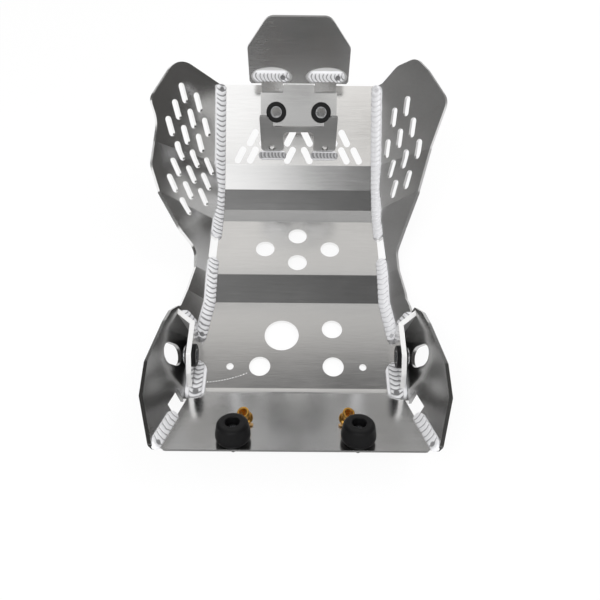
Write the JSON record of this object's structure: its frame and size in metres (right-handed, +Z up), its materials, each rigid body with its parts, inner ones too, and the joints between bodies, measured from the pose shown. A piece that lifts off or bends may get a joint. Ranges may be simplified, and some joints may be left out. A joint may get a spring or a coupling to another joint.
{
  "type": "motorcycle skid plate",
  "caption": "Welded sheet metal skid plate with folded floor, slotted side walls, rear wings, rubber-bushed ears, rubber bumpers and a front bracket with a stone guard.",
  "frame": {"origin": "centre of the underside of the bounding box, on the floor below the plate", "axes": "+Z up, +Y towards the front wheel and the stone guard, +X to the right seen from the rider"},
  "size_m": [0.331, 0.4348, 0.2046],
  "materials": {
    "plate": "brushed 4 mm sheet",
    "weld": "rippled weld bead with a white halo",
    "rubber": "satin black",
    "steel": "zinc plated",
    "brass": "bright turned brass"
  },
  "bodies": {
    "root": {"base_plate": "plate", "bumper_nuts": "steel", "bumper_screws": "steel", "bumper_washers": "steel", "front_guard": "plate", "front_mount_plate": "plate", "front_riser": "plate", "left_brass_insert": "brass", "left_bumper": "rubber", "left_ear": "plate", "left_ear_bush": "steel", "left_ear_grommet": "rubber", "left_ear_weld": "weld", "left_flange_weld": "weld", "left_front_bush": "steel", "left_front_grommet": "rubber", "left_front_wall": "plate", "left_guard_weld": "weld", "left_lower_weld": "weld", "left_rear_wing": "plate", "left_riser_weld": "weld", "left_upper_weld": "weld", "left_wing_weld": "weld", "right_brass_insert": "brass", "right_bumper": "rubber", "right_ear": "plate", "right_ear_bush": "steel", "right_ear_grommet": "rubber", "right_ear_weld": "weld", "right_flange_weld": "weld", "right_front_bush": "steel", "right_front_grommet": "rubber", "right_front_wall": "plate", "right_guard_weld": "weld", "right_lower_weld": "weld", "right_rear_wing": "plate", "right_riser_weld": "weld", "right_upper_weld": "weld", "right_wing_weld": "weld"}
  },
  "joints": []
}
